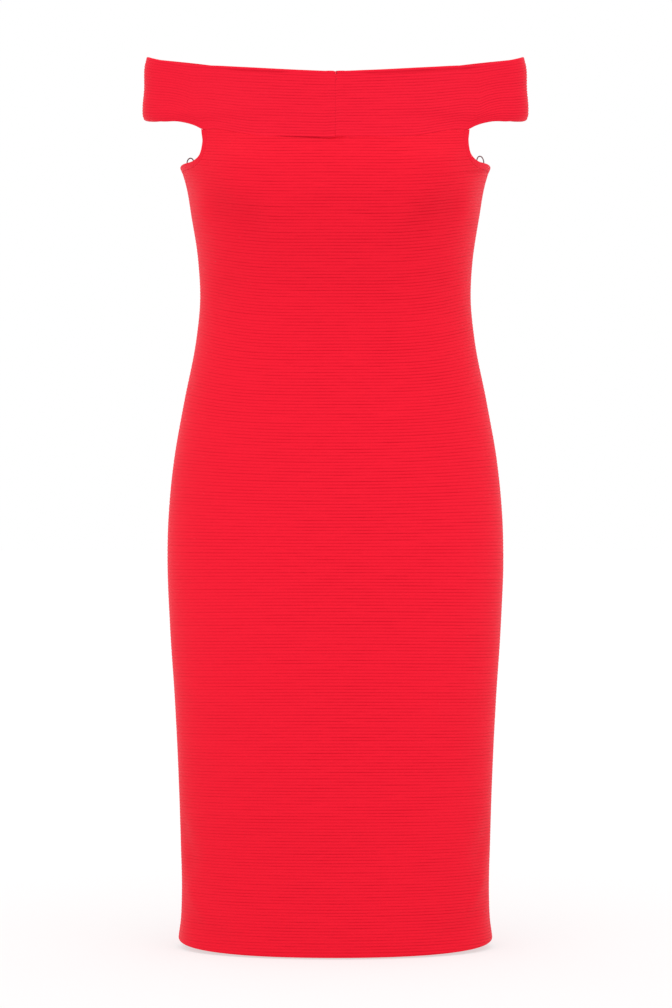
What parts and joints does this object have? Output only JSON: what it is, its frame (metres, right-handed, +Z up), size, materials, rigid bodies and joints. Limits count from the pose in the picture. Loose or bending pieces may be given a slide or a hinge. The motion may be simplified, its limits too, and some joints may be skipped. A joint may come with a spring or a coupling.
{
  "type": "bodycon dress",
  "caption": "Off-the-shoulder knee-length bodycon dress in rippled stretch knit, hollow as worn, with a folded band that is neckline and sleeves in one.",
  "frame": {"origin": "on the middle line of the hollow, level with the tops of the side seams, where the wearer's underarms are", "axes": "+Z up the dress towards the neckline, +Y towards the back, +X to the wearer's left"},
  "size_m": [0.3964, 0.2653, 0.9146],
  "materials": {
    "rippled_knit": "matt red stretch knit with fine ripple ribs across it",
    "band_knit": "the same knit folded double, with flatter ribs",
    "binding_knit": "smooth matt red knit strip",
    "loop_tape": "thin dull sheer tape"
  },
  "bodies": {
    "root": {"front_panel": "rippled_knit", "back_panel": "rippled_knit", "band_left": "band_knit", "band_right": "band_knit", "armhole_binding_left": "binding_knit", "armhole_binding_right": "binding_knit", "hanger_loop_left": "loop_tape", "hanger_loop_right": "loop_tape"}
  },
  "joints": []
}
